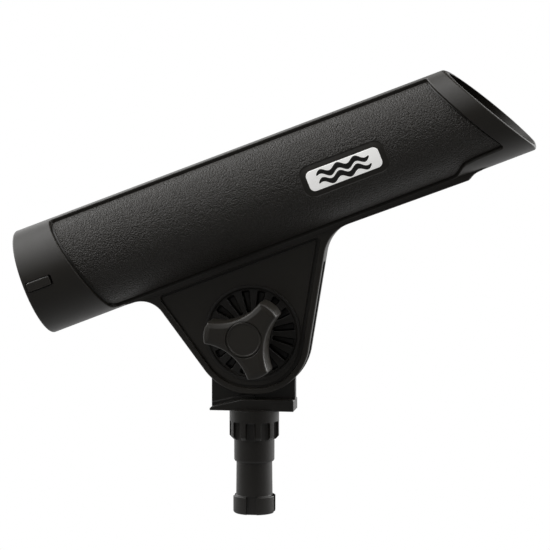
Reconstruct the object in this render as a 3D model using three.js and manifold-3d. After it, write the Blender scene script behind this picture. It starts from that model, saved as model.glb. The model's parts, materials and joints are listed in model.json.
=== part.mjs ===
// Rod holder: a one-piece tube body with two bracket ears, clamped by a
// three-lobe knob to the head of a splined mounting post.
// Millimetres, +Z up, +X towards the mouth of the tube, -Y is the knob side.
// Origin: centre of the underside of the post foot.
// The holder has its own frame: pivot at 0, x along the tube, z square to it.
// Left is +Y and right is -Y. Names ending in Face, Floor or Half are distances
// from the mid-plane y = 0.
import * as THREE from "three";
import { mergeVertices } from "three/addons/utils/BufferGeometryUtils.js";
import Module from "manifold-3d";

// ---------------------------------------------------------- shared dimensions
const PIVOT_Z = 96.4; // height of the tilt axis
const TILT = 21.2; // tube angle above horizontal, degrees
const GAP = 0.3; // clearance between neighbouring pieces
const OVERCUT = 1; // how far a cutter passes the face it opens
const CUT_Y = 40; // a y beyond every side face, for cutters that go right through
const DEG = Math.PI / 180;
const RIGHT = -1;
const LEFT = 1;

const tube = {
  axisZ: 65.25, // above the pivot
  rearX: -101.1,
  upperLipX: 143.4, // the mouth is oblique, between two lips
  lowerLipX: 173.8,
  rearRadius: 28.7,
  mouthRadius: 27.7,
  rearBore: 25.0, // bore radii
  frontBore: 24.3,
  rimRound: 1.1, // rounding of the outer rear edge
  boreChamfer: 0.8,
};

const ear = {
  face: 7.3, // over the rims
  floor: 5.8, // at the recessed floor
  inner: 3.6, // half width of the slot between the ears
};

const BOLT_BORE = 4.3; // radius of the clearance hole for the M8 bolt

// radial slots of the ratchet discs, and the teeth of the post head in them
const ratchet = {
  count: 16,
  innerRadius: 10.8,
  outerRadius: 22.4,
  halfAngle: 5.4, // half the opening of a slot, degrees
};

// ------------------------------------------------------------------- helpers
const kernel = await Module();
kernel.setup();

// a closed three.js geometry as a solid
function solid(geometry) {
  const bare = geometry.clone();
  for (const name of Object.keys(bare.attributes)) {
    if (name !== "position") bare.deleteAttribute(name);
  }
  const merged = mergeVertices(bare, 1e-4);
  return new kernel.Manifold(
    new kernel.Mesh({
      numProp: 3,
      vertProperties: new Float32Array(merged.attributes.position.array),
      triVerts: new Uint32Array(merged.index.array),
    }),
  );
}

// a solid as a flat-shaded three.js mesh
function mesh(name, shape, material) {
  const { vertProperties, triVerts } = shape.getMesh();
  const indexed = new THREE.BufferGeometry();
  const positions = new THREE.BufferAttribute(new Float32Array(vertProperties), 3);
  indexed.setAttribute("position", positions);
  indexed.setIndex(new THREE.BufferAttribute(new Uint32Array(triVerts), 1));
  const flat = indexed.toNonIndexed();
  flat.computeVertexNormals();
  const result = new THREE.Mesh(flat, material);
  result.name = name;
  return result;
}

const polygon = (points) => new THREE.Shape(points.map(([x, z]) => new THREE.Vector2(x, z)));

// a shape drawn in x and z, extruded from y0 to y1
function slabGeometry(shape, y0, y1) {
  const geometry = new THREE.ExtrudeGeometry(shape, { depth: y1 - y0, bevelEnabled: false });
  return geometry.rotateX(Math.PI / 2).translate(0, y1, 0);
}
const slab = (shape, y0, y1) => solid(slabGeometry(shape, y0, y1));

// a round bar along y
function roundY(radius, y0, y1, sides = 36, z = 0) {
  const geometry = new THREE.CylinderGeometry(radius, radius, y1 - y0, sides);
  return solid(geometry.translate(0, (y0 + y1) / 2, z));
}

function blockGeometry(x0, x1, y0, y1, z0, z1) {
  const geometry = new THREE.BoxGeometry(x1 - x0, y1 - y0, z1 - z0);
  return geometry.translate((x0 + x1) / 2, (y0 + y1) / 2, (z0 + z1) / 2);
}

// [radius, height] pairs, starting and ending on the axis, turned about y
function latheGeometry(profile, sides) {
  const points = profile.map(([radius, height]) => new THREE.Vector2(radius, height));
  return new THREE.LatheGeometry(points, sides);
}

// [radius, x] pairs turned about the tube axis
const turnedTube = (profile) =>
  solid(latheGeometry(profile, 60).rotateZ(-Math.PI / 2).translate(0, 0, tube.axisZ));

// points of an arc, angles in degrees
function arc(centreX, centreZ, radius, start, end, steps) {
  const points = [];
  for (let i = 0; i <= steps; i++) {
    const angle = (start + ((end - start) * i) / steps) * DEG;
    points.push([centreX + radius * Math.cos(angle), centreZ + radius * Math.sin(angle)]);
  }
  return points;
}

// the y range between two distances from the mid-plane, on one side
const sideSpan = (side, near = 1, far = CUT_Y) => (side < 0 ? [-far, -near] : [near, far]);

// outside radius of the tube at x
const outerRadius = (x) =>
  tube.rearRadius +
  ((tube.mouthRadius - tube.rearRadius) * (x - tube.rearX)) / (tube.lowerLipX - tube.rearX);

// everything between two depths below the outside of the tube, over the panels
const SHELL_X0 = -95;
const SHELL_X1 = 165;
const OUTSIDE = -3; // a depth that clears the outside of the tube
function shell(deep, shallow) {
  const frustum = (depth, x0, x1) =>
    turnedTube([
      [0, x0],
      [outerRadius(x0) - depth, x0],
      [outerRadius(x1) - depth, x1],
      [0, x1],
    ]);
  return frustum(shallow, SHELL_X0, SHELL_X1).subtract(
    frustum(deep, SHELL_X0 - OVERCUT, SHELL_X1 + OVERCUT),
  );
}

// middle angle of a ratchet slot in the holder frame, degrees from +x
const ratchetAngle = (index) => 90 - (360 / ratchet.count) * (index + 0.5);

// straight-ended outline of a ratchet slot or tooth, about a centre at height z
function ratchetOutline({ middle, halfAngle, innerRadius, outerRadius: outer, z = 0 }) {
  const corner = (radius, angle) => [
    radius * Math.cos(angle * DEG),
    z + radius * Math.sin(angle * DEG),
  ];
  return polygon([
    corner(innerRadius, middle - halfAngle),
    corner(outer, middle - halfAngle),
    corner(outer, middle + halfAngle),
    corner(innerRadius, middle + halfAngle),
  ]);
}

// ----------------------------------------------------------------- materials
const nylon = ({ color, roughness }) =>
  new THREE.MeshStandardMaterial({ color, roughness, metalness: 0 });
const bodyNylon = nylon({ color: 0x1b1c1e, roughness: 0.42 });
const panelNylon = nylon({ color: 0x232426, roughness: 0.62 });
const knobNylon = nylon({ color: 0x18191b, roughness: 0.36 });
const postNylon = nylon({ color: 0x17181a, roughness: 0.45 });
const discNylon = nylon({ color: 0x1a1b1d, roughness: 0.48 });
const capNylon = nylon({ color: 0x1d1e20, roughness: 0.3 });
const barNylon = nylon({ color: 0x242528, roughness: 0.35 });

const metal = ({ color, roughness, metalness = 1 }) =>
  new THREE.MeshStandardMaterial({ color, roughness, metalness });
const badgeMetal = metal({ color: 0xd9dbde, roughness: 0.32, metalness: 0.75 });
const steel = metal({ color: 0xb8babd, roughness: 0.28 });
const brass = metal({ color: 0xb8954a, roughness: 0.35 });

// ------------------------------------------------------- ears and keel rail
const rim = { x: -1.08, z: -1.12, radius: 31.15, width: 3.2 }; // rim of the ears
const toe = { x: -0.09, z: -3.97, radius: 28.85 }; // tighter rim at the lower front
const rearNormal = { x: -0.9632, z: -0.2689 }; // of the straight rear edge
const frontNormal = { x: 0.8626, z: -0.506 }; // of the straight front edge
const keel = {
  rearZ: 35.8, // underside at its rear end
  frontZ: 35.0, // and at its front end
  frontX: 135,
  endRadius: 14, // curve up into the tube, its centre ahead of and below the end
  endAheadX: 8,
  endBelowZ: 11.5,
};
const BRACKET_TOP_Z = tube.axisZ - 26; // ends inside the tube wall
const REAR_FILLET = 13.5;
const FRONT_FILLET = 20;

const angleOf = (normal) => Math.atan2(normal.z, normal.x) / DEG;
const rearAngle = angleOf(rearNormal);
const frontAngle = angleOf(frontNormal);

// x at height z on the line square to the normal, at a distance from the rim centre
const edgeX = (normal, distance, z) => rim.x + (distance - normal.z * (z - rim.z)) / normal.x;

// rear to front round the bottom of the ears
const rimArc = (inset) => [
  ...arc(rim.x, rim.z, rim.radius - inset, rearAngle, -90 - TILT, 13),
  ...arc(toe.x, toe.z, toe.radius - inset, -90 - TILT, frontAngle, 11),
];

function bracket() {
  const tubeLowZ = tube.axisZ - outerRadius(-50);
  const rearZ = tubeLowZ - REAR_FILLET;
  const rearX = edgeX(rearNormal, rim.radius + REAR_FILLET, rearZ);
  const frontZ = keel.rearZ - FRONT_FILLET;
  const frontX = edgeX(frontNormal, rim.radius + FRONT_FILLET, frontZ);
  const endX = keel.frontX + keel.endAheadX;
  const endZ = keel.frontZ - keel.endBelowZ;
  const outline = polygon([
    [rearX - 2, BRACKET_TOP_Z],
    [rearX - 2, tubeLowZ + 0.2],
    ...arc(rearX, rearZ, REAR_FILLET, 90, rearAngle + 180, 7),
    ...rimArc(0),
    ...arc(frontX, frontZ, FRONT_FILLET, frontAngle + 180, 90, 7),
    [keel.frontX, keel.frontZ],
    ...arc(endX, endZ, keel.endRadius, 124.8, 90, 4).slice(1),
    [keel.frontX + 12, BRACKET_TOP_Z],
  ]);
  return slab(outline, -ear.face, ear.face);
}

// the slot between the ears
function earSlot() {
  const reach = 53; // from the pivot
  const topZ = 35.1;
  const endAngle = 42;
  const outline = polygon([
    ...arc(0, 0, reach, -180, endAngle, 36),
    [reach * Math.cos(endAngle * DEG), topZ],
    [-reach, topZ],
  ]);
  return slab(outline, -ear.inner, ear.inner);
}

// what leaves the recessed floor inside the rim of an ear
function earRecess(side) {
  const distance = rim.radius - rim.width;
  const topZ = keel.rearZ - 0.4;
  const shoulderZ = topZ - 2;
  const rearX = edgeX(rearNormal, distance, shoulderZ);
  const frontX = edgeX(frontNormal, distance, shoulderZ);
  const outline = polygon([
    [rearX, shoulderZ],
    ...rimArc(rim.width),
    [frontX, shoulderZ],
    [frontX - 1.4, topZ],
    [rearX + 1.8, topZ],
  ]);
  return slab(outline, ...sideSpan(side, ear.floor, ear.face + OVERCUT));
}

// ---------------------------------------------------------------------- tube
function tubeOuter() {
  const { rearX, rearRadius, rimRound } = tube;
  const bevel = 0.32 * rimRound; // middle point of the rounded edge
  const frontX = tube.lowerLipX + 8;
  return turnedTube([
    [0, rearX],
    [rearRadius - rimRound, rearX],
    [rearRadius - bevel, rearX + bevel],
    [outerRadius(rearX + rimRound), rearX + rimRound],
    [outerRadius(frontX), frontX],
    [0, frontX],
  ]);
}

function tubeBore() {
  const { rearX, rearBore, boreChamfer } = tube;
  const frontX = tube.lowerLipX + 9;
  return turnedTube([
    [0, rearX - 5],
    [rearBore + boreChamfer, rearX - 5],
    [rearBore + boreChamfer, rearX],
    [rearBore, rearX + boreChamfer],
    [tube.frontBore, frontX],
    [0, frontX],
  ]);
}

// everything beyond the plane through the two lips
function mouthCut() {
  const extraX = 7.7; // the plane carried on past the lips
  const reachZ = tube.mouthRadius + 14;
  const farX = tube.lowerLipX + 60;
  const outline = polygon([
    [tube.upperLipX - extraX, tube.axisZ + reachZ],
    [tube.lowerLipX + extraX, tube.axisZ - reachZ],
    [farX, tube.axisZ - reachZ],
    [farX, tube.axisZ + reachZ],
  ]);
  return slab(outline, -CUT_Y, CUT_Y);
}

// ----------------------------------------------- side panels and their pockets
const POCKET_DEPTH = 2.4; // below the outside of the tube
const PANEL_FACE_DEPTH = 1.45;
const INLAY_BACK_DEPTH = POCKET_DEPTH - GAP; // back of panels and badges
// upper and lower edges, from the tube axis
const panelEdges = { grow: 0, top: 25.5, low: -25.3 };
const pocketEdges = { grow: 0.65, top: 27.45, low: -27.0 };

// outline seen square to the side, grown at the ends
function panelOutline({ grow, top, low }) {
  // slanted ends, x at a height from the tube axis
  const rear = (height) => -71.8 - 0.28 * height - grow;
  const front = (height) => 148.2 - 0.56 * height + grow;
  // x, height from the tube axis
  const points = [
    [rear(top - 2.2), top - 2.2],
    [rear(top) + 1.2, top],
    [front(top) - 1.5, top],
    [front(top - 1.5), top - 1.5],
    [front(-18.5), -18.5],
    [front(-20.4) - 0.8, -20.6 - grow * 0.6],
    [144.6, -21.0 - grow],
    [137.0, -21.9 - grow],
    [131.5, low + 1.2],
    [128.5, low],
    [-56.6 - grow, low],
    [-60.3 - grow, low + 0.7],
    [-63.1 - grow, low + 2.4],
    [rear(-19.2), -19.2],
  ];
  return polygon(points.map(([x, height]) => [x, tube.axisZ + height]));
}

const panelPocket = (side) =>
  slab(panelOutline(pocketEdges), ...sideSpan(side)).intersect(shell(POCKET_DEPTH, OUTSIDE));

const badge = {
  x: 79.2,
  z: tube.axisZ - 1.6,
  length: 40,
  height: 11.6,
  corner: 3,
  proud: 0.15, // above the face of the panel
};
const bezel = {
  width: 3.2, // smooth border round the badge
  depth: 0.35, // below the face of the panel
  corner: badge.corner + 3.2 - 0.4,
};

// the badge outline, grown all round
function badgeOutline(grow, corner = badge.corner + grow) {
  const halfLength = (badge.length + 2 * grow) / 2;
  const halfHeight = (badge.height + 2 * grow) / 2;
  const x0 = badge.x - halfLength + corner;
  const x1 = badge.x + halfLength - corner;
  const z0 = badge.z - halfHeight + corner;
  const z1 = badge.z + halfHeight - corner;
  return polygon([
    ...arc(x1, z1, corner, 0, 90, 5),
    ...arc(x0, z1, corner, 90, 180, 5),
    ...arc(x0, z0, corner, 180, 270, 5),
    ...arc(x1, z0, corner, 270, 360, 5),
  ]);
}

function sidePanel(side) {
  const span = sideSpan(side);
  const bezelCut = slab(badgeOutline(bezel.width, bezel.corner), ...span).intersect(
    shell(PANEL_FACE_DEPTH + bezel.depth, OUTSIDE),
  );
  return slab(panelOutline(panelEdges), ...span)
    .intersect(shell(INLAY_BACK_DEPTH, PANEL_FACE_DEPTH))
    .subtract(bezelCut)
    .subtract(slab(badgeOutline(GAP), ...span));
}

const sideBadge = (side) =>
  slab(badgeOutline(0), ...sideSpan(side)).intersect(
    shell(INLAY_BACK_DEPTH, PANEL_FACE_DEPTH - badge.proud),
  );

// ----------------------------------------- cross bar in the rear of the tube
const bar = {
  rearX: -99.1,
  frontX: -86.1,
  thickness: 4.6,
  proud: 0.5, // past the outside of the tube at each end
  z: tube.axisZ - 1.1,
};

// a block on the bar's centre height
const barBlock = (x0, x1, halfY, halfZ) =>
  solid(blockGeometry(x0, x1, -halfY, halfY, bar.z - halfZ, bar.z + halfZ));

const crossBar = () =>
  barBlock(bar.rearX, bar.frontX, tube.rearRadius + bar.proud, bar.thickness / 2);

const barSlot = () =>
  barBlock(bar.rearX - GAP - 0.1, bar.frontX + 1.1, CUT_Y, bar.thickness / 2 + GAP);

// ---------------------------------------- toothed discs let into the ears
const disc = { radius: 23.6, flangeRadius: 25.3 };

function ratchetDisc(side) {
  const flangeY = ear.floor + GAP;
  // the body runs 0.01 into the flange so that the two join
  let result = roundY(disc.radius, ...sideSpan(side, ear.inner, flangeY + 0.01), 48)
    .add(roundY(disc.flangeRadius, ...sideSpan(side, flangeY, ear.face - GAP), 48))
    .subtract(
      roundY(ratchet.outerRadius + 0.4, ...sideSpan(side, ear.floor, ear.face + OVERCUT), 48),
    )
    .subtract(roundY(BOLT_BORE, -CUT_Y, CUT_Y, 24));
  for (let i = 0; i < ratchet.count; i++) {
    const outline = ratchetOutline({ ...ratchet, middle: ratchetAngle(i) });
    result = result.subtract(slab(outline, ...sideSpan(side)));
  }
  return result;
}

// --------------------------------------------------------------- holder body
const holderBody = () =>
  bracket()
    .add(tubeOuter())
    .subtract(tubeBore())
    .subtract(mouthCut())
    .subtract(panelPocket(RIGHT))
    .subtract(panelPocket(LEFT))
    .subtract(earSlot())
    .subtract(earRecess(RIGHT))
    .subtract(earRecess(LEFT))
    .subtract(roundY(disc.radius + GAP, -CUT_Y, CUT_Y, 48))
    .subtract(barSlot());

// ---------------------------------------------------------- bolt and washers
const washer = { radius: 9.0, near: ear.floor + GAP, thickness: 1.5 };
washer.far = washer.near + washer.thickness;
const bolt = {
  shankRadius: 4.0,
  tipY: -27,
  headY: washer.far + GAP, // underside of the head
  headThickness: 5.3,
  acrossFlats: 13,
};

function clampBolt() {
  const hexagon = polygon(arc(0, 0, bolt.acrossFlats / Math.sqrt(3), 30, 330, 5));
  return slab(hexagon, bolt.headY, bolt.headY + bolt.headThickness).add(
    roundY(bolt.shankRadius, bolt.tipY, bolt.headY + 1, 24),
  );
}

const washerRing = (y0, y1) =>
  roundY(washer.radius, y0, y1).subtract(
    roundY(BOLT_BORE, y0 - OVERCUT, y1 + OVERCUT, 24),
  );

// ---------------------------------------------------------------------- knob
const knob = {
  faceY: -36.5, // outer face
  backY: -17.5, // back of the lobes
  cornerRadius: 21.2, // to the corners of the lobes
  crown: 0.3, // bulge of a lobe end between its corners
  waistRadius: 11.0,
  halfAngle: 16, // half width of a lobe at its tip, degrees
  firstLobe: 39, // clockwise from up, seen from -Y, degrees
  edgeInset: 1.1, // the stepped edge of both faces
  edgeDepth: 1.2,
  hubRadius: 9.0,
  hubBackY: -7.8,
};
const insert = { radius: 6.0, y0: -22.3, y1: knob.hubBackY - 0.2 };
const cap = {
  radius: 9.2,
  faceDepth: 0.7, // depths below the face of the knob
  backDepth: 3,
  rimDepth: 0.35,
  rimOuter: 9.0, // radii of the raised rim
  rimInner: 8.2,
};

// three crowned lobes joined by hollow flanks, each flank one circular arc
function knobOutline(inset) {
  const points = [];
  const tip = knob.cornerRadius - inset;
  const waist = knob.waistRadius - inset;
  const half = knob.halfAngle - inset * 1.6;
  // the flank arc passes through the waist and both lobe corners
  const cornerX = tip * Math.cos((60 - half) * DEG);
  const cornerZ = tip * Math.sin((60 - half) * DEG);
  const centre = (cornerX ** 2 + cornerZ ** 2 - waist ** 2) / (2 * (cornerX - waist));
  const reach = Math.atan2(cornerZ, centre - cornerX) / DEG;
  for (let k = 0; k < 3; k++) {
    const middle = 90 - knob.firstLobe - 120 * k - TILT;
    for (let i = 0; i <= 4; i++) {
      const across = -1 + i / 2; // -1 and 1 at the corners
      const angle = (middle - across * half) * DEG;
      const radius = tip + (1 - across * across) * knob.crown;
      points.push([radius * Math.cos(angle), radius * Math.sin(angle)]);
    }
    const flank = middle - 60;
    const centreX = centre * Math.cos(flank * DEG);
    const centreZ = centre * Math.sin(flank * DEG);
    const start = flank + 180 - reach;
    const curve = arc(centreX, centreZ, centre - waist, start, start + 2 * reach, 10);
    points.push(...curve.slice(1, -1));
  }
  return polygon(points);
}

function knobBody() {
  const { faceY, backY, edgeDepth } = knob;
  return slab(knobOutline(0), faceY + edgeDepth, backY - edgeDepth)
    .add(slab(knobOutline(knob.edgeInset), faceY, backY))
    .add(roundY(knob.hubRadius, backY - 1, knob.hubBackY))
    .subtract(roundY(insert.radius + GAP, insert.y0 - GAP, 0, 28))
    .subtract(roundY(BOLT_BORE + 0.2, bolt.tipY - 2, 0, 24))
    .subtract(roundY(cap.radius + GAP, faceY - OVERCUT, faceY + cap.backDepth + GAP));
}

const knobInsert = () =>
  roundY(insert.radius, insert.y0, insert.y1, 28).subtract(roundY(BOLT_BORE, -CUT_Y, 0, 24));

function knobCap() {
  const { faceY } = knob;
  const raisedRim = roundY(cap.rimOuter, faceY + cap.rimDepth, faceY + 2).subtract(
    roundY(cap.rimInner, faceY, faceY + cap.faceDepth),
  );
  return roundY(cap.radius, faceY + cap.faceDepth, faceY + cap.backDepth).add(raisedRim);
}

// ----------------------------------------------------- head of the post
const plate = { x0: -22.9, x1: 21.9, halfY: 7.4, z0: 55, z1: 61.2 };
const RAMP_X = -5.5; // behind this the top of the plate slopes down
const RAMP_SLOPE = Math.tan(14.2 * DEG);
const lug = { radius: 30, half: 2.4, toothHalf: 3.3 };
const neck = { x0: -22.4, x1: 22.2 }; // rear and front sides under the lug
const tooth = {
  halfAngle: ratchet.halfAngle - 0.8,
  innerRadius: ratchet.innerRadius + 0.5,
  outerRadius: ratchet.outerRadius - 0.5,
};

function headPlate() {
  const rampEndX = plate.x0 + 1.4;
  const rampEndZ = plate.z1 - (RAMP_X - rampEndX) * RAMP_SLOPE;
  const outline = polygon([
    [plate.x1, plate.z0],
    [plate.x1, plate.z1],
    [RAMP_X, plate.z1],
    [rampEndX, rampEndZ],
    [plate.x0 + 0.4, rampEndZ - 0.7],
    [plate.x0, plate.z0 + 1.0],
    [plate.x0 + 0.2, plate.z0],
  ]);
  return slab(outline, -plate.halfY, plate.halfY);
}

const WEB_LOW_Z = plate.z0 + 1.2; // the neck and the ledge start inside the plate

function lugNeck() {
  const outline = polygon([
    [neck.x0, WEB_LOW_Z],
    [plate.x1 - 0.5, WEB_LOW_Z],
    [plate.x1 - 0.5, plate.z1 - 0.5],
    [neck.x1, plate.z1 - 0.5],
    [neck.x1, PIVOT_Z - 20],
    [neck.x0, PIVOT_Z - 19.8],
  ]);
  return slab(outline, -lug.half, lug.half);
}

// one radial tooth, standing out on both faces of the lug
const lugTooth = (index) =>
  slab(
    ratchetOutline({ ...tooth, middle: ratchetAngle(index) + TILT, z: PIVOT_Z }),
    -lug.toothHalf,
    lug.toothHalf,
  );

// a thicker ledge along the ramp, where the lug meets the plate
function rampLedge() {
  const rearX = neck.x0 + 0.2;
  const outline = polygon([
    [rearX, WEB_LOW_Z],
    [0, WEB_LOW_Z],
    [0, plate.z1 + 0.3],
    [RAMP_X + 1.2, plate.z1 + 1.9],
    [rearX, plate.z1 + 1.6 + (rearX - RAMP_X) * RAMP_SLOPE],
  ]);
  return slab(outline, -lug.toothHalf, lug.toothHalf);
}

// ---------------------------------------------------------------------- post
const foot = { radius: 11.2, height: 9.5, notches: 4, notchWidth: 5.6, notchDepth: 1.7 };
const SHAFT_RADIUS = 9.4;
const upper = { radius: 10.7, z: 27.8 }; // the thicker part under the splines
const spline = { count: 10, z0: 39.5, z1: 49.2, tip: 13.1, root: 10.75, width: 2.9 };
const COLLAR_RADIUS = 13.1;
const POST_TOP_Z = plate.z0 + 0.5; // inside the plate

// radius, z
const postProfile = [
  [0, 0],
  [foot.radius - 1.2, 0],
  [foot.radius - 0.35, 0.35],
  [foot.radius, 1.2],
  [foot.radius, foot.height - 0.4],
  [foot.radius - 0.4, foot.height],
  [SHAFT_RADIUS + 0.1, foot.height],
  [SHAFT_RADIUS - 0.1, upper.z],
  [upper.radius - 0.5, upper.z],
  [upper.radius, upper.z + 0.8],
  [upper.radius, spline.z0 + 1],
  [spline.root, spline.z0 + 1.2],
  [spline.root, spline.z1],
  [COLLAR_RADIUS, spline.z1],
  [COLLAR_RADIUS + 0.2, POST_TOP_Z],
  [0, POST_TOP_Z],
];

// chamfered underneath, running up into the collar
function postSpline(index) {
  const lowZ = spline.z0 + 0.1;
  const chamferZ = spline.z0 + 1.3;
  const topZ = spline.z1 + 0.6;
  const outline = polygon([
    [0, chamferZ],
    [spline.root - 0.4, lowZ],
    [spline.tip - 1.1, lowZ],
    [spline.tip, chamferZ],
    [spline.tip, topZ],
    [0, topZ],
  ]);
  const angle = -90 + (360 / spline.count) * (index + 0.5);
  const geometry = slabGeometry(outline, -spline.width / 2, spline.width / 2);
  return solid(geometry.rotateZ(angle * DEG));
}

function footNotch(index) {
  const x0 = foot.radius - foot.notchDepth;
  const halfY = foot.notchWidth / 2;
  const z1 = foot.height + OVERCUT;
  const geometry = blockGeometry(x0, x0 + 4, -halfY, halfY, -OVERCUT, z1);
  return solid(geometry.rotateZ((360 / foot.notches) * index * DEG));
}

function turnedPost() {
  let result = solid(latheGeometry(postProfile, 40).rotateX(Math.PI / 2));
  for (let i = 0; i < spline.count; i++) result = result.add(postSpline(i));
  for (let i = 0; i < foot.notches; i++) result = result.subtract(footNotch(i));
  return result;
}

function postHead() {
  let result = headPlate()
    .add(lugNeck())
    .add(roundY(lug.radius, -lug.half, lug.half, 60, PIVOT_Z));
  for (let i = 0; i < ratchet.count; i++) result = result.add(lugTooth(i));
  return result
    .add(rampLedge())
    .subtract(roundY(BOLT_BORE, -CUT_Y, CUT_Y, 32, PIVOT_Z))
    .add(turnedPost());
}

// ------------------------------------------------------------------ assembly
const holder = new THREE.Group();
holder.position.set(0, 0, PIVOT_Z);
holder.rotation.y = -TILT * DEG;
holder.add(
  mesh("holder_body", holderBody(), bodyNylon),
  mesh("side_panel_right", sidePanel(RIGHT), panelNylon),
  mesh("side_panel_left", sidePanel(LEFT), panelNylon),
  mesh("badge_right", sideBadge(RIGHT), badgeMetal),
  mesh("badge_left", sideBadge(LEFT), badgeMetal),
  mesh("gimbal_bar", crossBar(), barNylon),
  mesh("ratchet_disc_right", ratchetDisc(RIGHT), discNylon),
  mesh("ratchet_disc_left", ratchetDisc(LEFT), discNylon),
  mesh("clamp_bolt", clampBolt(), steel),
  mesh("bolt_washer", washerRing(washer.near, washer.far), steel),
  mesh("knob_washer", washerRing(-washer.far + 0.1, -washer.near), steel),
  mesh("knob_body", knobBody(), knobNylon),
  mesh("knob_insert", knobInsert(), brass),
  mesh("knob_cap", knobCap(), capNylon),
);

const rodHolder = new THREE.Group();
rodHolder.add(mesh("post_head", postHead(), postNylon), holder);

export default rodHolder;
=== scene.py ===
"""A tubular holder that tilts on a post and is clamped by a bolt and a three-lobed knob.

World: metres, +Z up. The post stands on the Z axis and the tilt pivot lies along Y. The
knob is at -Y, the bolt head at +Y. Shapes are drawn in millimetres in one of two frames:
  post frame    x, y, z as in the world
  holder frame  u along the tube towards its mouth, y as in the world, h square to both,
                from the pivot; tilted so that the mouth (front, +u) points to +X and up
Side -1 (-Y) is "right" and side +1 (+Y) is "left".
"""
import json
import math

import bmesh
import bpy
import numpy as np
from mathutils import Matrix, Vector
from mathutils.geometry import delaunay_2d_cdt


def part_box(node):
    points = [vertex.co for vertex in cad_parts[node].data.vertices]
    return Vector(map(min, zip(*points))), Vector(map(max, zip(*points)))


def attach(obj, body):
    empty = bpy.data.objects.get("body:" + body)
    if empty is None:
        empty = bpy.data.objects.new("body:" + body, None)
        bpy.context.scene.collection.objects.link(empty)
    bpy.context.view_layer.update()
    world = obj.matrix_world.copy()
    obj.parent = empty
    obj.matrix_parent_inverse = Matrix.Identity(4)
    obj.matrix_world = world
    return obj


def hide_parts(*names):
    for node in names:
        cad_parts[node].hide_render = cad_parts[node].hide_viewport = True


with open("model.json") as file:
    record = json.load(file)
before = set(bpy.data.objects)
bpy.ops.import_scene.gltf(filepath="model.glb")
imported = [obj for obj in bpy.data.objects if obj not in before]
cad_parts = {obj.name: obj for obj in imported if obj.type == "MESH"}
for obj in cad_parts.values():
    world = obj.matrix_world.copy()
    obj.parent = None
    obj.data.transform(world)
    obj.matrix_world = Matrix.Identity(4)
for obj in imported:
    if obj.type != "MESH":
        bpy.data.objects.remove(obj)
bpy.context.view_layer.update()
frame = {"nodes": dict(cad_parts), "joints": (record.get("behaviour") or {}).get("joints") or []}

# ------------------------------------------------------------------ dimensions
MM = 0.001                     # metres in a millimetre
PER_METRE = 1000.0             # millimetres in a metre
SIDES = ((-1, "right"), (1, "left"))

TILT_JOINT = next(joint for joint in frame["joints"] if joint["name"] == "tilt")
PIVOT_Z = TILT_JOINT["pos_m"][2] * PER_METRE
TILT = math.radians(21.2)
COS_TILT, SIN_TILT = math.cos(TILT), math.sin(TILT)

# tube: outer and bore radii taper from rear to front
AXIS_H = 65.25
REAR_U, MOUTH_MID_U, MOUTH_SLOPE = -101.1, 158.9, 0.575
R_REAR, R_FRONT = 28.7, 27.7
BORE_REAR, BORE_FRONT = 25.0, 24.3
TAPER_START, TAPER_LENGTH = -100.0, 272.0
TAPER_LEAN = np.array([0.0037, 0, 0])   # forward lean of the outer surface normal
ROUND_REAR_OUT, ROUND_REAR_IN = 1.1, 0.8
ROUND_MOUTH_OUT, ROUND_MOUTH_IN = 1.0, 0.7
SHELL_R = 28.0                 # radius that turns an arc length into an angle
POCKET_D, PANEL_D = 2.3, 1.45  # depths below the outside of the tube

# bracket under the tube, ending in two ears
EAR_FACE, EAR_FLOOR, EAR_INNER = 7.3, 5.8, 3.6      # half widths
EAR_R, EAR_U, EAR_H = 31.15, -1.08, -1.12           # rear rim, centred near the pivot
TOE_R, TOE_U, TOE_H = 28.85, -0.09, -3.97           # tighter rim at the lower front
REAR_NORMAL = np.array([-0.9632, -0.2689])          # (u, h) normals of the straight flanks
FRONT_NORMAL = np.array([0.8626, -0.5060])
REAR_FILLET, FRONT_FILLET = 13.5, 20.0
KEEL_REAR_H, KEEL_FRONT_H, KEEL_END_U = 35.8, 35.0, 135.0
BRACKET_FRONT_U = 147.5
BRACKET_TOP_H = AXIS_H - 25.15                      # buried in the tube wall
RIM_WIDTH = 3.2

# cross bar through the rear of the tube
BAR_U0, BAR_U1, BAR_H, BAR_T = -99.1, -86.1, AXIS_H - 1.1, 4.6

# ratchet: teeth on the post head between the gaps of the discs
TOOTH_COUNT, TOOTH_PITCH = 16, 22.5
BORE_R = 4.3                   # hole for the bolt

KNOB_FACE_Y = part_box("knob_body")[0].y * PER_METRE


def taper(rear, front, u):
    return rear + (front - rear) * (np.asarray(u, float) - TAPER_START) / TAPER_LENGTH


def r_out(u):
    return taper(R_REAR, R_FRONT, u)


def r_bore(u):
    return taper(BORE_REAR, BORE_FRONT, u)


def arc_at_height(h):
    """Arc length from the crest down to height h above the tube axis."""
    return SHELL_R * math.acos(max(-1.0, min(1.0, h / SHELL_R)))


# badge, in (u, arc length from the crest)
BADGE_U, BADGE_V = 79.2, -1.6
BADGE_S = arc_at_height(BADGE_V)


# ----------------------------------------------------- frames and prism mappings
def holder_frame(points):
    """Points (u, y, h) in mm, as world metres."""
    u, y, h = np.asarray(points, float).T
    return np.stack(
        [u * COS_TILT - h * SIN_TILT, y, PIVOT_Z + u * SIN_TILT + h * COS_TILT], 1) * MM


def post_frame(points):
    return np.asarray(points, float) * MM


def tilt_directions(vectors):
    u, y, h = vectors.T
    return np.stack([u * COS_TILT - h * SIN_TILT, y, u * SIN_TILT + h * COS_TILT], 1)


# a prism mapping turns outline coordinates (a, b) and sweep position w into a point
def sweep_y(a, b, w):
    return np.stack([a, w, b], 1)


def sweep_z(a, b, w):
    return np.stack([a, b, w], 1)


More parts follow.
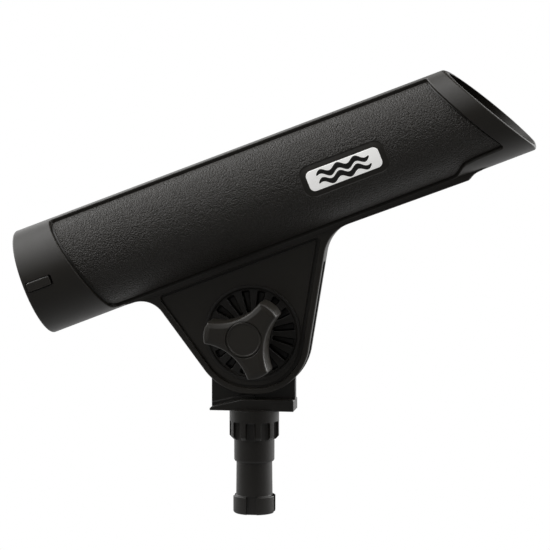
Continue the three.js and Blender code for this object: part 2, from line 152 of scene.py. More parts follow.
def on_side(side):
    """Outline (u, arc length from the crest), swept by depth below the tube's outside."""
    def mapping(u, arc_length, depth):
        radius = r_out(u) - depth
        angle = arc_length / SHELL_R
        return np.stack(
            [u, side * radius * np.sin(angle), AXIS_H + radius * np.cos(angle)], 1)
    return mapping


# ---------------------------------------------------------------- mesh helpers
def new_object(name, verts, faces):
    mesh = bpy.data.meshes.new(name)
    mesh.from_pydata([tuple(v) for v in verts], [], [tuple(int(i) for i in f) for f in faces])
    mesh.validate()
    bm = bmesh.new()
    bm.from_mesh(mesh)
    bmesh.ops.remove_doubles(bm, verts=bm.verts, dist=1e-5)
    bmesh.ops.recalc_face_normals(bm, faces=bm.faces)
    bm.to_mesh(mesh)
    bm.free()
    obj = bpy.data.objects.new(name, mesh)
    bpy.context.scene.collection.objects.link(obj)
    return obj


def volume(mesh):
    bm = bmesh.new()
    bm.from_mesh(mesh)
    result = bm.calc_volume()
    bm.free()
    return result


def boolean(obj, other, operation="DIFFERENCE"):
    """obj cut by, joined to or kept inside other, which is used up."""
    modifier = obj.modifiers.new("b", "BOOLEAN")
    modifier.operation = operation
    modifier.solver = "MANIFOLD"
    modifier.object = other
    bpy.context.view_layer.update()
    depsgraph = bpy.context.evaluated_depsgraph_get()
    mesh = bpy.data.meshes.new_from_object(obj.evaluated_get(depsgraph))
    obj.modifiers.clear()
    old = obj.data
    obj.data = mesh
    if len(mesh.polygons) == 0 or abs(volume(mesh) - volume(old)) < 1e-4:
        raise RuntimeError(f"{operation.lower()} of {other.name} did nothing to {obj.name}")
    bpy.data.meshes.remove(old)
    other_mesh = other.data
    bpy.data.objects.remove(other)
    bpy.data.meshes.remove(other_mesh)


def band(first, second, n):
    """Quads between two closed rings of n vertices that start at the given indices."""
    return [(first + j, first + (j + 1) % n, second + (j + 1) % n, second + j)
            for j in range(n)]


# -------------------------------------------------------------------- outlines
def offset_ring(outline, distance):
    """A closed counter-clockwise outline moved outwards by distance. Where an inward
    move passes the centre of a corner arc, the arc closes up to one point."""
    ring = np.asarray(outline, float)
    if abs(distance) < 1e-9:
        return ring.copy()
    n = len(ring)
    edges = np.roll(ring, -1, 0) - ring
    ahead = edges / (np.linalg.norm(edges, axis=1)[:, None] + 1e-12)
    behind = np.roll(ahead, 1, 0)
    normal_behind = np.stack([behind[:, 1], -behind[:, 0]], 1)
    normal_ahead = np.stack([ahead[:, 1], -ahead[:, 0]], 1)
    mitre = normal_behind + normal_ahead
    mitre /= np.linalg.norm(mitre, axis=1)[:, None] + 1e-12
    cosine = np.maximum((mitre * normal_behind).sum(1), 0.45)
    moved = ring + mitre * (distance / cosine)[:, None]
    # each run of edges that has turned back shrinks to where its neighbours meet
    for _ in range(40):
        edges = np.roll(moved, -1, 0) - moved
        turned = (edges * ahead).sum(1) <= 1e-7
        if not (turned & (np.linalg.norm(edges, axis=1) > 1e-9)).any():
            break
        start = int(np.nonzero(~turned)[0][0])
        i = 0
        while i < n:
            k = (start + i) % n
            if not turned[k]:
                i += 1
                continue
            run = 1
            while turned[(k + run) % n]:
                run += 1
            before, after = (k - 1) % n, (k + run) % n
            dir_a, dir_b = ahead[before], ahead[after]
            cross = dir_a[0] * dir_b[1] - dir_a[1] * dir_b[0]
            if abs(cross) < 1e-6:
                meeting = (moved[k] + moved[after]) / 2
            else:
                gap = moved[(after + 1) % n] - moved[before]
                along = (gap[0] * dir_b[1] - gap[1] * dir_b[0]) / cross
                meeting = moved[before] + dir_a * along
            for j in range(run + 1):
                moved[(k + j) % n] = meeting
            i += run
    return moved


def ccw(points):
    ring = np.asarray(points, float)
    x, y = ring[:, 0], ring[:, 1]
    area = (x * np.roll(y, -1) - y * np.roll(x, -1)).sum()
    return ring if area > 0 else ring[::-1].copy()


def round_corner(before, corner, after, radius, step, count):
    """The points that replace one corner; step, when given, sets their number."""
    if radius < 1e-6:
        return [corner]
    back, ahead = before - corner, after - corner
    back_length, ahead_length = np.linalg.norm(back), np.linalg.norm(ahead)
    back, ahead = back / back_length, ahead / ahead_length
    angle = math.acos(max(-1, min(1, float(back @ ahead))))
    if angle > math.pi - 1e-3:
        return [corner]
    tangent = min(radius / math.tan(angle / 2), 0.49 * back_length, 0.49 * ahead_length)
    radius = tangent * math.tan(angle / 2)
    middle = back + ahead
    middle /= np.linalg.norm(middle)
    centre = corner + middle * radius / math.sin(angle / 2)
    from_centre = corner + back * tangent - centre
    to_centre = corner + ahead * tangent - centre
    start = math.atan2(from_centre[1], from_centre[0])
    end = math.atan2(to_centre[1], to_centre[0])
    sweep = (end - start + math.pi) % (2 * math.pi) - math.pi
    if step:
        count = max(3, int(math.ceil(abs(sweep) * radius / (step * 0.6))),
                    int(math.ceil(abs(sweep) / 0.2)))
    points = []
    for j in range(count + 1):
        a = start + sweep * j / count
        points.append(centre + radius * np.array([math.cos(a), math.sin(a)]))
    return points


def round_corners(corners, step=None, count=4):
    """corners: (x, y, radius); each corner with a radius becomes an arc."""
    places = [np.array(c[:2], float) for c in corners]
    points = []
    for i, corner in enumerate(corners):
        points += round_corner(places[i - 1], places[i], places[(i + 1) % len(places)],
                               corner[2], step, count)
    return points


def divide(points, step):
    """A closed outline, counter-clockwise, with no edge longer than step."""
    result = []
    for i, start in enumerate(points):
        end = points[(i + 1) % len(points)]
        length = np.linalg.norm(end - start)
        if length < 1e-4:
            continue
        count = max(1, int(math.ceil(length / step)))
        for j in range(count):
            result.append(start + (end - start) * j / count)
    return ccw(np.array(result))


def rounded_poly(corners, step=0.8):
    return divide(np.array(round_corners(corners, step=step)), step)


def box_outline(x0, x1, y0, y1, radius, step):
    return rounded_poly([(x0, y0, radius), (x1, y0, radius),
                         (x1, y1, radius), (x0, y1, radius)], step)


def rectangle(x, y, width, height, radius, step=0.6):
    return box_outline(x - width / 2, x + width / 2, y - height / 2, y + height / 2,
                       radius, step)


def arc(x, y, radius, start, end, count):
    """Points on an arc, angles in degrees."""
    points = []
    for i in range(count + 1):
        a = math.radians(start + (end - start) * i / count)
        points.append((x + radius * math.cos(a), y + radius * math.sin(a)))
    return points


def turned(corners, angle, centre=0.0):
    """Corners (x, y, radius) turned about the origin, then raised by centre."""
    c, s = math.cos(angle), math.sin(angle)
    return [(x * c - y * s, centre + x * s + y * c, radius) for x, y, radius in corners]


def wedge(inner, outer, half_angle, inner_round, outer_round):
    """Corners of a radial wedge along +x, half_angle in degrees."""
    slope = math.tan(math.radians(half_angle))
    return [(inner, inner * slope * -1, inner_round), (outer, outer * slope * -1, outer_round),
            (outer, outer * slope, outer_round), (inner, inner * slope, inner_round)]


def tooth_angle(i):
    return math.radians(90 - TOOTH_PITCH * (i + 0.5))


# ---------------------------------------------------------------------- prisms
def inside(points, ring, margin):
    """Which points lie inside the ring and at least margin from it."""
    x, y = points[:, 0][:, None], points[:, 1][:, None]
    start, end = ring, np.roll(ring, -1, 0)
    ax, ay, bx, by = start[:, 0], start[:, 1], end[:, 0], end[:, 1]
    spans = (ay > y) != (by > y)
    with np.errstate(divide="ignore", invalid="ignore"):
        crossing = (bx - ax) * (y - ay) / (by - ay) + ax
    within = (np.where(spans, x < crossing, False).sum(1) % 2) == 1
    chosen = np.nonzero(within)[0]
    near = points[chosen]
    edge = end - start
    squared = (edge**2).sum(1) + 1e-12
    along = np.clip(((near[:, None, :] - start) * edge).sum(2) / squared, 0, 1)
    foot = start + along[..., None] * edge
    distance = np.linalg.norm(near[:, None, :] - foot, axis=2).min(1)
    within[chosen[distance < margin]] = False
    return within


def cap(ring, spacing):
    """Triangles that fill a ring, with inner points on a grid when spacing is given."""
    points = ring
    if spacing:
        low, high = ring.min(0), ring.max(0)
        grid_x = np.arange(low[0] + spacing[0] / 2, high[0], spacing[0])
        grid_y = np.arange(low[1] + spacing[1] / 2, high[1], spacing[1])
        grid = np.stack(np.meshgrid(grid_x, grid_y), -1).reshape(-1, 2)
        grid = grid[inside(grid, ring, 0.45 * min(spacing))]
        points = np.vstack([ring, grid])
    n = len(ring)
    _, _, found, origins, _, _ = delaunay_2d_cdt(
        [Vector(p) for p in points], [], [list(range(n))], 0, 1e-7, True)
    source = [o[0] if o else None for o in origins]
    tris = [tuple(source[i] for i in t) for t in found]
    if any(None in t for t in tris):
        raise RuntimeError("an outline crosses itself")
    # which side of the outline each triangle lies on follows from its neighbours
    merged = {i: o[0] for o in origins for i in o}
    outline = {frozenset((merged[i], merged[(i + 1) % n])) for i in range(n)}
    outline = {e for e in outline if len(e) == 2}
    owners = {}
    for k, tri in enumerate(tris):
        for i in range(3):
            owners.setdefault(frozenset((tri[i], tri[(i + 1) % 3])), []).append(k)
    filled = {}
    stack = []
    for edge, pair in owners.items():
        if len(pair) == 1 and pair[0] not in filled:
            filled[pair[0]] = edge in outline
            stack.append(pair[0])
    while stack:
        k = stack.pop()
        tri = tris[k]
        for i in range(3):
            edge = frozenset((tri[i], tri[(i + 1) % 3]))
            for other in owners[edge]:
                if other != k and other not in filled:
                    filled[other] = filled[k] != (edge in outline)
                    stack.append(other)
    return points, [tri for k, tri in enumerate(tris) if filled.get(k)]


def prism(name, outline, rings, mapping=sweep_y, spacing=None):
    """outline swept through (offset, position) rings, with a cap at both ends."""
    outline = ccw(outline)
    n = len(outline)
    levels = [offset_ring(outline, offset) for offset, _ in rings]
    verts = [np.column_stack([ring, np.full(n, w)]) for ring, (_, w) in zip(levels, rings)]
    faces = []
    for i in range(len(rings) - 1):
        faces += band(i * n, (i + 1) * n, n)
    base = len(rings) * n
    for level in (0, len(rings) - 1):
        points, tris = cap(levels[level], spacing)
        extra = points[n:]
        if len(extra):
            verts.append(np.column_stack([extra, np.full(len(extra), rings[level][1])]))
        for tri in tris:
            face = [level * n + i if i < n else base + i - n for i in tri]
            faces.append(face if level else face[::-1])
        base += len(extra)
    a, b, w = np.vstack(verts).T
    return new_object(name, mapping(a, b, w), faces)


def quarter_turn(count=5, first=0):
    """Pairs along a quarter circle: one falls from 1 to 0, one rises from 0 to 1."""
    for i in range(first, count + 1):
        a = math.pi / 2 * i / count
        yield 1 - math.sin(a), 1 - math.cos(a)


def straight(w0, w1):
    return [(0, w0), (0, w1)]


def round_both(w0, w1, r0, r1, count=5):
    """Rings of a prism from w0 to w1 with its edges rounded by r0 and r1."""
    way = 1 if w1 > w0 else -1
    rings = [(-r0 * fall, w0 + way * r0 * rise) for fall, rise in quarter_turn(count)]
    return rings + [(-r1 * rise, w1 - way * r1 * fall) for fall, rise in quarter_turn(count)]


def cutter_rings(surface, floor, flare, fillet):
    """Rings of a cutter that leaves a rounded upper edge and a filleted floor."""
    way = 1 if floor > surface else -1
    rings = [(flare + 0.6, surface - way * 2.0), (flare + 0.02, surface - way * 0.02)]
    rings += [(flare * fall, surface + way * flare * rise) for fall, rise in quarter_turn()]
    rings += [(-fillet * rise, floor - way * fillet * fall) for fall, rise in quarter_turn()]
    kept = [rings[0]]
    for ring in rings[1:]:
        if abs(ring[0] - kept[-1][0]) + abs(ring[1] - kept[-1][1]) > 1e-4:
            kept.append(ring)
    return kept


def lathe(name, corners, segments=96, axis="y", centre_z=0.0, corner_steps=4):
    """A profile of (radius, position, rounding) corners turned about an axis. A profile
    that starts off the axis is closed into a ring."""
    verts, starts, sizes = [], [], []
    for radius, position in round_corners(corners, count=corner_steps):
        starts.append(len(verts))
        if radius < 1e-6:
            sizes.append(1)
            verts.append((0.0, 0.0, position))
            continue
        sizes.append(segments)
        for j in range(segments):
            a = 2 * math.pi * j / segments
            verts.append((radius * math.cos(a), radius * math.sin(a), position))
    faces = []
    rows = len(starts)
    for i in range(rows if corners[0][0] > 1e-6 else rows - 1):
        k = (i + 1) % rows
        a, b = starts[i], starts[k]
        if sizes[i] == 1:
            faces += [(a, b + (j + 1) % segments, b + j) for j in range(segments)]
        elif sizes[k] == 1:
            faces += [(a + j, a + (j + 1) % segments, b) for j in range(segments)]
        else:
            faces += band(a, b, segments)
    points = np.array(verts)
    if axis == "y":
        points = points[:, [0, 2, 1]]
    return new_object(name, points + np.array((0, 0, centre_z), float), faces)


# ------------------------------------------------------------ shading and finish
def vertex_coords(mesh):
    coords = np.zeros(len(mesh.vertices) * 3)
    mesh.vertices.foreach_get("co", coords)
    return coords.reshape(-1, 3)


def finish_piece(obj, body, nodes, material, place=holder_frame, sharp=32.0,
                 set_normals=None):
    """Puts a finished mesh, in mm, in the world, with its shading, material and body.
    Edges above sharp degrees stay hard."""
    mesh = obj.data
    bm = bmesh.new()
    bm.from_mesh(mesh)
    bmesh.ops.remove_doubles(bm, verts=bm.verts, dist=2e-4)
    bmesh.ops.dissolve_degenerate(bm, edges=bm.edges, dist=1e-5)
    limit = math.radians(sharp)
    for face in bm.faces:
        face.smooth = True
    for edge in bm.edges:
        edge.smooth = not (len(edge.link_faces) == 2 and edge.calc_face_angle(0.0) > limit)
    bm.to_mesh(mesh)
    bm.free()
    local = vertex_coords(mesh)
    mesh.vertices.foreach_set("co", place(local).astype(np.float32).ravel())
    mesh.update()
    if set_normals:
        set_normals(obj, local)
    else:
        modifier = obj.modifiers.new("normals", "WEIGHTED_NORMAL")
        modifier.keep_sharp = True
        modifier.weight = 60
    mesh.materials.clear()
    mesh.materials.append(material)
    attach(obj, body)
    if nodes:
        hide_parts(*nodes)


def around_axis(local):
    """Distance from the tube axis and the unit direction away from it."""
    y, h = local[:, 1], local[:, 2] - AXIS_H
    radius = np.hypot(y, h)
    safe = np.maximum(radius, 1e-6)
    return radius, np.stack([np.zeros_like(y), y / safe, h / safe], 1)


def override_normals(obj, regions):
    """regions: (vertex mask, holder-frame normals); faces wholly in a mask take them."""
    mesh = obj.data
    corner_vertex = np.zeros(len(mesh.loops), int)
    mesh.loops.foreach_get("vertex_index", corner_vertex)
    face_size = np.zeros(len(mesh.polygons), int)
    mesh.polygons.foreach_get("loop_total", face_size)
    normals = np.zeros(len(mesh.loops) * 3)
    mesh.corner_normals.foreach_get("vector", normals)
    normals = normals.reshape(-1, 3)
    corner_face = np.repeat(np.arange(len(face_size)), face_size)
    for mask, directions in regions:
        marked = np.bincount(corner_face, mask[corner_vertex], len(face_size))
        corners = (marked == face_size)[corner_face]
        normals[corners] = tilt_directions(directions[corner_vertex[corners]])
    normals /= np.linalg.norm(normals, axis=1)[:, None]
    mesh.normals_split_custom_set([tuple(v) for v in normals])


def shell_normals(obj, local):
    """Exact normals on the outside and the bore of the tube."""
    radius, radial = around_axis(local)
    outside = np.abs(radius - r_out(local[:, 0])) < 0.012
    bore = (radius < 25.4) & (radius > 23.8)
    override_normals(obj, [(outside, radial + TAPER_LEAN), (bore, -radial)])


def panel_normals(obj, local):
    """Exact normals on the outer face of a side panel."""
    radius, radial = around_axis(local)
    face = np.abs(radius - (r_out(local[:, 0]) - PANEL_D)) < 0.012
    override_normals(obj, [(face, radial + TAPER_LEAN)])


# ------------------------------------------------------------------- materials
MIX_FACTOR, MIX_A, MIX_B, MIX_RESULT = 0, 6, 7, 2   # colour sockets of the Mix node


class Nodes:
    """Builds the emptied node tree of a material or a world."""

    def __init__(self, owner):
        owner.use_nodes = True
        self.tree = owner.node_tree
        self.tree.nodes.clear()

    def add(self, kind, inputs=None, **settings):
        """inputs: socket to value, or to the output linked into it."""
        node = self.tree.nodes.new("ShaderNode" + kind)
        for key, value in settings.items():
            setattr(node, key, value)
        for socket, value in (inputs or {}).items():
            if isinstance(value, bpy.types.NodeSocket):
                self.tree.links.new(value, node.inputs[socket])
            else:
                node.inputs[socket].default_value = value
        return node

    def math(self, operation, x, y, clamp=False):
        return self.add("Math", {0: x, 1: y}, operation=operation, use_clamp=clamp).outputs[0]

    def noise(self, vector, size, detail, roughness=0.5):
        """Noise with features of the given size in mm."""
        return self.add("TexNoise", {"Scale": PER_METRE / size, "Detail": detail,
                                     "Roughness": roughness, "Vector": vector})

    def mix(self, factor, a, b):
        return self.add("Mix", {MIX_FACTOR: factor, MIX_A: a, MIX_B: b},
                        data_type="RGBA").outputs[MIX_RESULT]

    def map_range(self, value, from_min, from_max, to_min, to_max, kind="LINEAR"):
        inputs = {0: value, 1: from_min, 2: from_max, 3: to_min, 4: to_max}
        return self.add("MapRange", inputs, interpolation_type=kind).outputs[0]

    def bevel(self, radius):
        return self.add("Bevel", {"Radius": radius * MM}, samples=4).outputs[0]

    def bump(self, height, normal):
        """Bump from a height in mm."""
        return self.add("Bump", {"Distance": MM, "Height": height,
                                 "Normal": normal}).outputs[0]

    def white_to_camera(self, level):
        """level for all rays but those of the camera, which get 1."""
        seen = self.add("LightPath").outputs["Is Camera Ray"]
        hidden = self.math("SUBTRACT", 1.0, seen)
        return self.math("ADD", self.math("MULTIPLY", level, hidden), seen)


def shade(base, factor, lift=0.0):
    return tuple(min(1, c * factor + lift) for c in base) + (1,)


def plastic(name, base, roughness, grain, grain_depth, bevel=0.35, wear=0.5,
            leather=0.0, leather_size=0.95):
    """Moulded black nylon. Sizes in mm. leather is the depth of a leather grain."""
    material = bpy.data.materials.new(name)
    tree = Nodes(material)
    calc = tree.math
    coords = tree.add("TexCoord").outputs["Object"]

    def noise(size, detail, roughness=0.55):
        return tree.noise(coords, size, detail, roughness).outputs["Fac"]

    # a rounded normal at hard edges; how far it leaves the true normal marks the edge
    rounded = tree.bevel(bevel)
    true_normal = tree.add("NewGeometry").outputs["Normal"]
    agreement = tree.add("VectorMath", {0: rounded, 1: true_normal},
                         operation="DOT_PRODUCT").outputs["Value"]
    edge = calc("MULTIPLY", calc("SUBTRACT", 1.0, agreement), 3.0, clamp=True)
    scuff = calc("MULTIPLY", edge, noise(size=3.0, detail=4.0, roughness=0.7))

    # colour: slow mottling of the moulding, fine flecks, paler worn edges
    mottle = 0.25
    slow = noise(size=14.0, detail=3.0)
    fleck = noise(size=grain * 1.3, detail=2.0)
    tone = calc("ADD", calc("MULTIPLY", slow, mottle), calc("MULTIPLY", fleck, mottle * 0.6))
    mottled = tree.mix(tone, shade(base, 0.8), shade(base, 1.5))
    worn = calc("MULTIPLY", scuff, wear, clamp=True)
    colour = tree.mix(worn, mottled, shade(base, 3.2, lift=0.01))

    # roughness: patchy, smoother along the edges
    patches = calc("MULTIPLY", noise(size=6.0, detail=4.0, roughness=0.65), 0.12)
    gloss = calc("ADD", roughness - 0.06, patches)
    gloss = calc("SUBTRACT", gloss, calc("MULTIPLY", edge, 0.08), clamp=True)

    height = calc("MULTIPLY", noise(size=grain, detail=3.0, roughness=0.6), grain_depth)
    if leather:
        # pebbles of two sizes on warped coordinates, over a slow swell
        warp = tree.noise(coords, size=leather_size * 1.6, detail=2.0).outputs["Color"]
        warp_amount = (leather_size * 0.0006,) * 3
        warped = tree.add("VectorMath", {0: warp, 1: warp_amount, 2: coords},
                          operation="MULTIPLY_ADD").outputs[0]
        for size, share in ((leather_size, 1.0), (leather_size * 0.5, 0.4)):
            cells = tree.add("TexVoronoi", {
                "Scale": PER_METRE / size, "Smoothness": 0.25, "Randomness": 1.0,
                "Vector": warped}, feature="SMOOTH_F1").outputs["Distance"]
            pebble = calc("SUBTRACT", 1.0, calc("POWER", cells, 1.4))
            height = calc("ADD", height, calc("MULTIPLY", pebble, leather * share))
        swell = noise(size=leather_size * 2.5, detail=2.0)
        height = calc("ADD", height, calc("MULTIPLY", swell, leather * 0.35))

    surface = tree.add("BsdfPrincipled", {
        "Base Color": colour, "Roughness": gloss, "Normal": tree.bump(height, rounded)})
    tree.add("OutputMaterial", {0: surface.outputs[0]})
    return material


def metal(name, base, roughness, metallic=1.0, grain=0.20, depth=0.006, stretch=(1, 1, 1),
          glow=0.0):
    """Metal or metallic paint. grain and depth in mm; stretch scales the grain. glow is painted
    light: an emission that makes the surface look brighter than the lamps light it, though it is
    no lamp.
    """
    material = bpy.data.materials.new(name)
    tree = Nodes(material)
    coords = tree.add("TexCoord").outputs["Object"]
    stretched = tree.add("Mapping", {"Scale": stretch, "Vector": coords}).outputs[0]
    fine = tree.noise(stretched, size=grain, detail=3.0).outputs["Fac"]
    slow = tree.noise(coords, size=7.0, detail=4.0).outputs["Fac"]
    colour = tree.mix(slow, shade(base, 0.88), shade(base, 1.06))
    inputs = {
        "Base Color": colour,
        "Metallic": metallic,
        "Roughness": tree.map_range(fine, from_min=0.0, from_max=1.0,
                                    to_min=roughness - 0.07, to_max=roughness + 0.09),
        "Normal": tree.bump(tree.math("MULTIPLY", fine, depth), tree.bevel(0.25)),
    }
    # painted light: the emission brightens the colour though the part is no lamp
    if glow:
        inputs["Emission Color"] = colour
        inputs["Emission Strength"] = glow
    surface = tree.add("BsdfPrincipled", inputs)
    tree.add("OutputMaterial", {0: surface.outputs[0]})
    return material


M_BODY = plastic("body_nylon", base=(0.0190, 0.0162, 0.0120), roughness=0.44,
                 grain=0.30, grain_depth=0.012)
M_PANEL = plastic("grained_panel", base=(0.0195, 0.0166, 0.0122), roughness=0.47,
                  grain=0.22, grain_depth=0.02, leather=0.52, leather_size=0.85)
# darker than the body's nylon: painted shade, standing in for the shade on the post and on its
# neck under the ears
M_POST_SHADED = plastic("post_nylon", base=(0.0110, 0.0094, 0.0070), roughness=0.40,
                 grain=0.35, grain_depth=0.014)
# darker than the body's nylon: painted shade, standing in for the shadow that the knob and the
# ears cast on the toothed discs
M_DISC_SHADED = plastic("disc_nylon", base=(0.0100, 0.0086, 0.0064), roughness=0.50,
                 grain=0.35, grain_depth=0.014)
M_KNOB = plastic("knob_nylon", base=(0.0240, 0.0208, 0.0160), roughness=0.40,
                 grain=0.30, grain_depth=0.010, wear=0.8)
M_CAP = plastic("cap_nylon", base=(0.0235, 0.0205, 0.0158), roughness=0.43,
                grain=0.30, grain_depth=0.012)
M_BAR = plastic("cross_bar", base=(0.0240, 0.0212, 0.0168), roughness=0.42,
                grain=0.30, grain_depth=0.012)
M_INK = plastic("badge_ink", base=(0.0100, 0.0095, 0.0085), roughness=0.38,
                grain=0.30, grain_depth=0.004, bevel=0.1)
# the badge plate's glow is painted light: emission that brightens the pale plate beyond what the
# lamps give
M_BADGE = metal("badge_plate", base=(0.74, 0.735, 0.72), roughness=0.34, metallic=0.10,
                grain=0.30, depth=0.004, stretch=(0.12, 1, 1), glow=0.62)
M_STEEL = metal("steel", base=(0.56, 0.57, 0.58), roughness=0.30)
M_BRASS = metal("brass", base=(0.72, 0.54, 0.25), roughness=0.34)


# ---------------------------------------------------------------- holder shell
def mouth_u(h, y=0.0):
    """Where the slanting mouth ends, at height h above the tube axis."""
    h, y = np.asarray(h, float), np.asarray(y, float)
    return (
        MOUTH_MID_U
        - MOUTH_SLOPE * h
        - 0.030 * y
        + 0.6 * (y / 27.7) ** 2
        - 2.0 * np.clip((-h - 23.0) / 4.7, 0, 1) ** 2
        - 0.4 * np.clip((h - 24.5) / 3.0, 0, 1) ** 2
    )


def tube_solid():
    """The tube wall: rings from the rear along the outside and back along the bore."""
    segments, outer_steps, bore_steps = 256, 45, 23
    angles = 2 * math.pi * np.arange(segments) / segments
    cosines, sines = np.cos(angles), np.sin(angles)
    rows = []

    def ring(u, radius):
        u = np.broadcast_to(u, angles.shape)
        radius = np.broadcast_to(radius, angles.shape)
        rows.append(np.stack([u, -radius * sines, AXIS_H + radius * cosines], 1))

    def mouth(radius):
        return mouth_u(radius * cosines, -radius * sines)

    for fall, rise in quarter_turn():
        ring(REAR_U + ROUND_REAR_OUT * rise, R_REAR - ROUND_REAR_OUT * fall)
    r_end = r_out(mouth_u(R_FRONT * cosines))
    u_end = mouth(r_end) - ROUND_MOUTH_OUT
    for k in range(1, outer_steps + 1):
        share = k / outer_steps
        u = (REAR_U + ROUND_REAR_OUT) + (u_end - REAR_U - ROUND_REAR_OUT) * share
        ring(u, r_out(u))
    for fall, rise in quarter_turn(first=1):
        radius = r_end - ROUND_MOUTH_OUT * rise
        ring(mouth(radius) - ROUND_MOUTH_OUT * fall, radius)
    bore = r_bore(mouth_u(0.0))
    for fall, rise in quarter_turn():
        radius = bore + ROUND_MOUTH_IN * fall
        ring(mouth(radius) - ROUND_MOUTH_IN * rise, radius)
    u_in = mouth(bore) - ROUND_MOUTH_IN
    for k in range(1, bore_steps + 1):
        share = k / bore_steps
        ring(u_in + (REAR_U + ROUND_REAR_IN - u_in) * share,
             bore + (BORE_REAR - bore) * share)
    for fall, rise in quarter_turn(first=1):
        ring(REAR_U + ROUND_REAR_IN * fall, BORE_REAR + ROUND_REAR_IN * rise)
    faces = []
    for i in range(len(rows)):
        faces += band(i * segments, (i + 1) % len(rows) * segments, segments)
    return new_object("holder_tube", np.vstack(rows), faces)


def side_outline(grow, s_top, s_low, rear_low_round=6.0):
    """Outline of the panel field on the side of the tube, in (u, arc length)."""
    def rear(s):
        return -71.8 - 0.28 * SHELL_R * math.cos(s / SHELL_R) - grow

    def front(s):
        return 148.2 - 0.56 * SHELL_R * math.cos(s / SHELL_R) + 0.7 * grow

    s_front, s_middle, s_rear = (arc_at_height(h) for h in (-20.5, -21.0, -21.9))
    lower = grow * 0.8
    corners = [(rear(s_top), s_top, 2.6)]
    corners += [(rear(s), s, 0.0) for s in np.linspace(s_top + 5, s_low - 9, 14)]
    corners += [
        (rear(s_low - 2.0) + 0.5, s_low, rear_low_round),
        (129.0, s_low, 5.0),
        (136.5, s_rear + lower, 5.0),
        (144.6, s_middle + lower, 4.0),
        (front(s_front) - 0.4, s_front + lower, 1.8),
    ]
    corners += [(front(s), s, 0.0) for s in np.linspace(s_front - 4, s_top + 4, 14)]
    corners.append((front(s_top), s_top, 1.4))
    return rounded_poly(corners, 0.9)


def flank_u(normal, distance, h):
    """u at height h of the line that lies distance from the ear centre."""
    return EAR_U + (distance - normal[1] * (h - EAR_H)) / normal[0]


REAR_ANGLE = math.degrees(math.atan2(REAR_NORMAL[1], REAR_NORMAL[0]))
FRONT_ANGLE = math.degrees(math.atan2(FRONT_NORMAL[1], FRONT_NORMAL[0]))


def rim_arc(inset):
    lowest = -90 - math.degrees(TILT)
    return (arc(EAR_U, EAR_H, EAR_R - inset, REAR_ANGLE, lowest, 34)
            + arc(TOE_U, TOE_H, TOE_R - inset, lowest, FRONT_ANGLE, 32))


def bracket_outline():
    """Side view (u, h) of the ears and the keel in front of them."""
    tube_low = AXIS_H - float(r_out(-50))
    rear_h = tube_low - REAR_FILLET
    rear_u = flank_u(REAR_NORMAL, EAR_R + REAR_FILLET, rear_h)
    front_h = KEEL_REAR_H - FRONT_FILLET
    front_u = flank_u(FRONT_NORMAL, EAR_R + FRONT_FILLET, front_h)
    points = (
        [(rear_u - 4, BRACKET_TOP_H), (rear_u - 4, tube_low + 0.25)]
        + arc(rear_u, rear_h, REAR_FILLET, 90, REAR_ANGLE + 180, 14)
        + rim_arc(0.0)
        + arc(front_u, front_h, FRONT_FILLET, FRONT_ANGLE + 180, 90, 14)
        + [(KEEL_END_U, KEEL_FRONT_H)]
        + arc(KEEL_END_U + 8, KEEL_FRONT_H - 11.5, 14, 124.8, 90, 8)[1:]
        + [(BRACKET_FRONT_U, 38.3), (BRACKET_FRONT_U, BRACKET_TOP_H)]
    )
    return divide(np.array(points), 1.6)


def slot_outline():
    """Side view of the gap between the ears."""
    radius, top = 53, 35.1
    points = arc(0, 0, radius, -180, 42, 90)
    return divide(np.array(points + [(points[-1][0], top), (-radius, top)]), 1.5)


def recess_outline():
    """Side view of the sunk floor of an ear."""
    radius = EAR_R - RIM_WIDTH
    top = KEEL_REAR_H - 0.5
    return rounded_poly(
        [(flank_u(REAR_NORMAL, radius, top), top, 2.2)]
        + [(u, h, 0) for u, h in rim_arc(RIM_WIDTH)]
        + [(flank_u(FRONT_NORMAL, radius, top), top, 2.2)], 1.2)


def bar_hole(rear, front, low, up, radius):
    """The cross bar's section with a clearance on each side."""
    return box_outline(BAR_U0 - rear, BAR_U1 + front, BAR_H - BAR_T / 2 - low,
                       BAR_H + BAR_T / 2 + up, radius, 1.0)


def build_holder_shell():
    shell = tube_solid()
    bracket = prism("bracket", bracket_outline(), round_both(-EAR_FACE, EAR_FACE, 0.9, 0.9))
    boolean(shell, bracket, "UNION")

    for side, _ in SIDES:
        boolean(shell, prism("pocket", side_outline(0.55, 6.93, 80.3),
                             cutter_rings(0.0, POCKET_D, flare=0.45, fillet=0.5),
                             on_side(side), spacing=(5.0, 2.0)))
    boolean(shell, prism("slot", slot_outline(), straight(-EAR_INNER, EAR_INNER)))

    recess = recess_outline()
    for side, _ in SIDES:
        boolean(shell, prism("recess", recess, cutter_rings(
            side * EAR_FACE, side * EAR_FLOOR, flare=0.45, fillet=0.6)))
    # a sunk line at the foot of the rim, wider towards the front
    for side, _ in SIDES:
        line = prism("rim_line", offset_ring(recess, -0.06),
                     straight(side * (EAR_FLOOR + 0.9), side * (EAR_FLOOR - 0.9)))
        land = offset_ring(recess, -1.55) + np.array([-0.55, 0.15])
        boolean(line, prism("rim_land", land, straight(side * 9.0, side * 3.0)))
        boolean(shell, line)
    # round hole for the toothed discs
    boolean(shell, lathe("hole", [(0, -12, 0), (23.9, -12, 0), (23.9, 12, 0), (0, 12, 0)], 128))

    # a close hole for the cross bar, with a shallow wider recess round it outside
    boolean(shell, prism("bar_slot", bar_hole(0.1, 0.12, 0.1, 0.1, 0.5), straight(-40, 40)))
    for side, _ in SIDES:
        boolean(shell, prism("bar_recess", bar_hole(0.25, 1.15, 0.4, 0.5, 0.55),
                             straight(side * 40, side * 26.2)))
    shell.name = "holder_shell"
    finish_piece(shell, "holder", ["holder_body"], M_BODY,
                 set_normals=shell_normals)


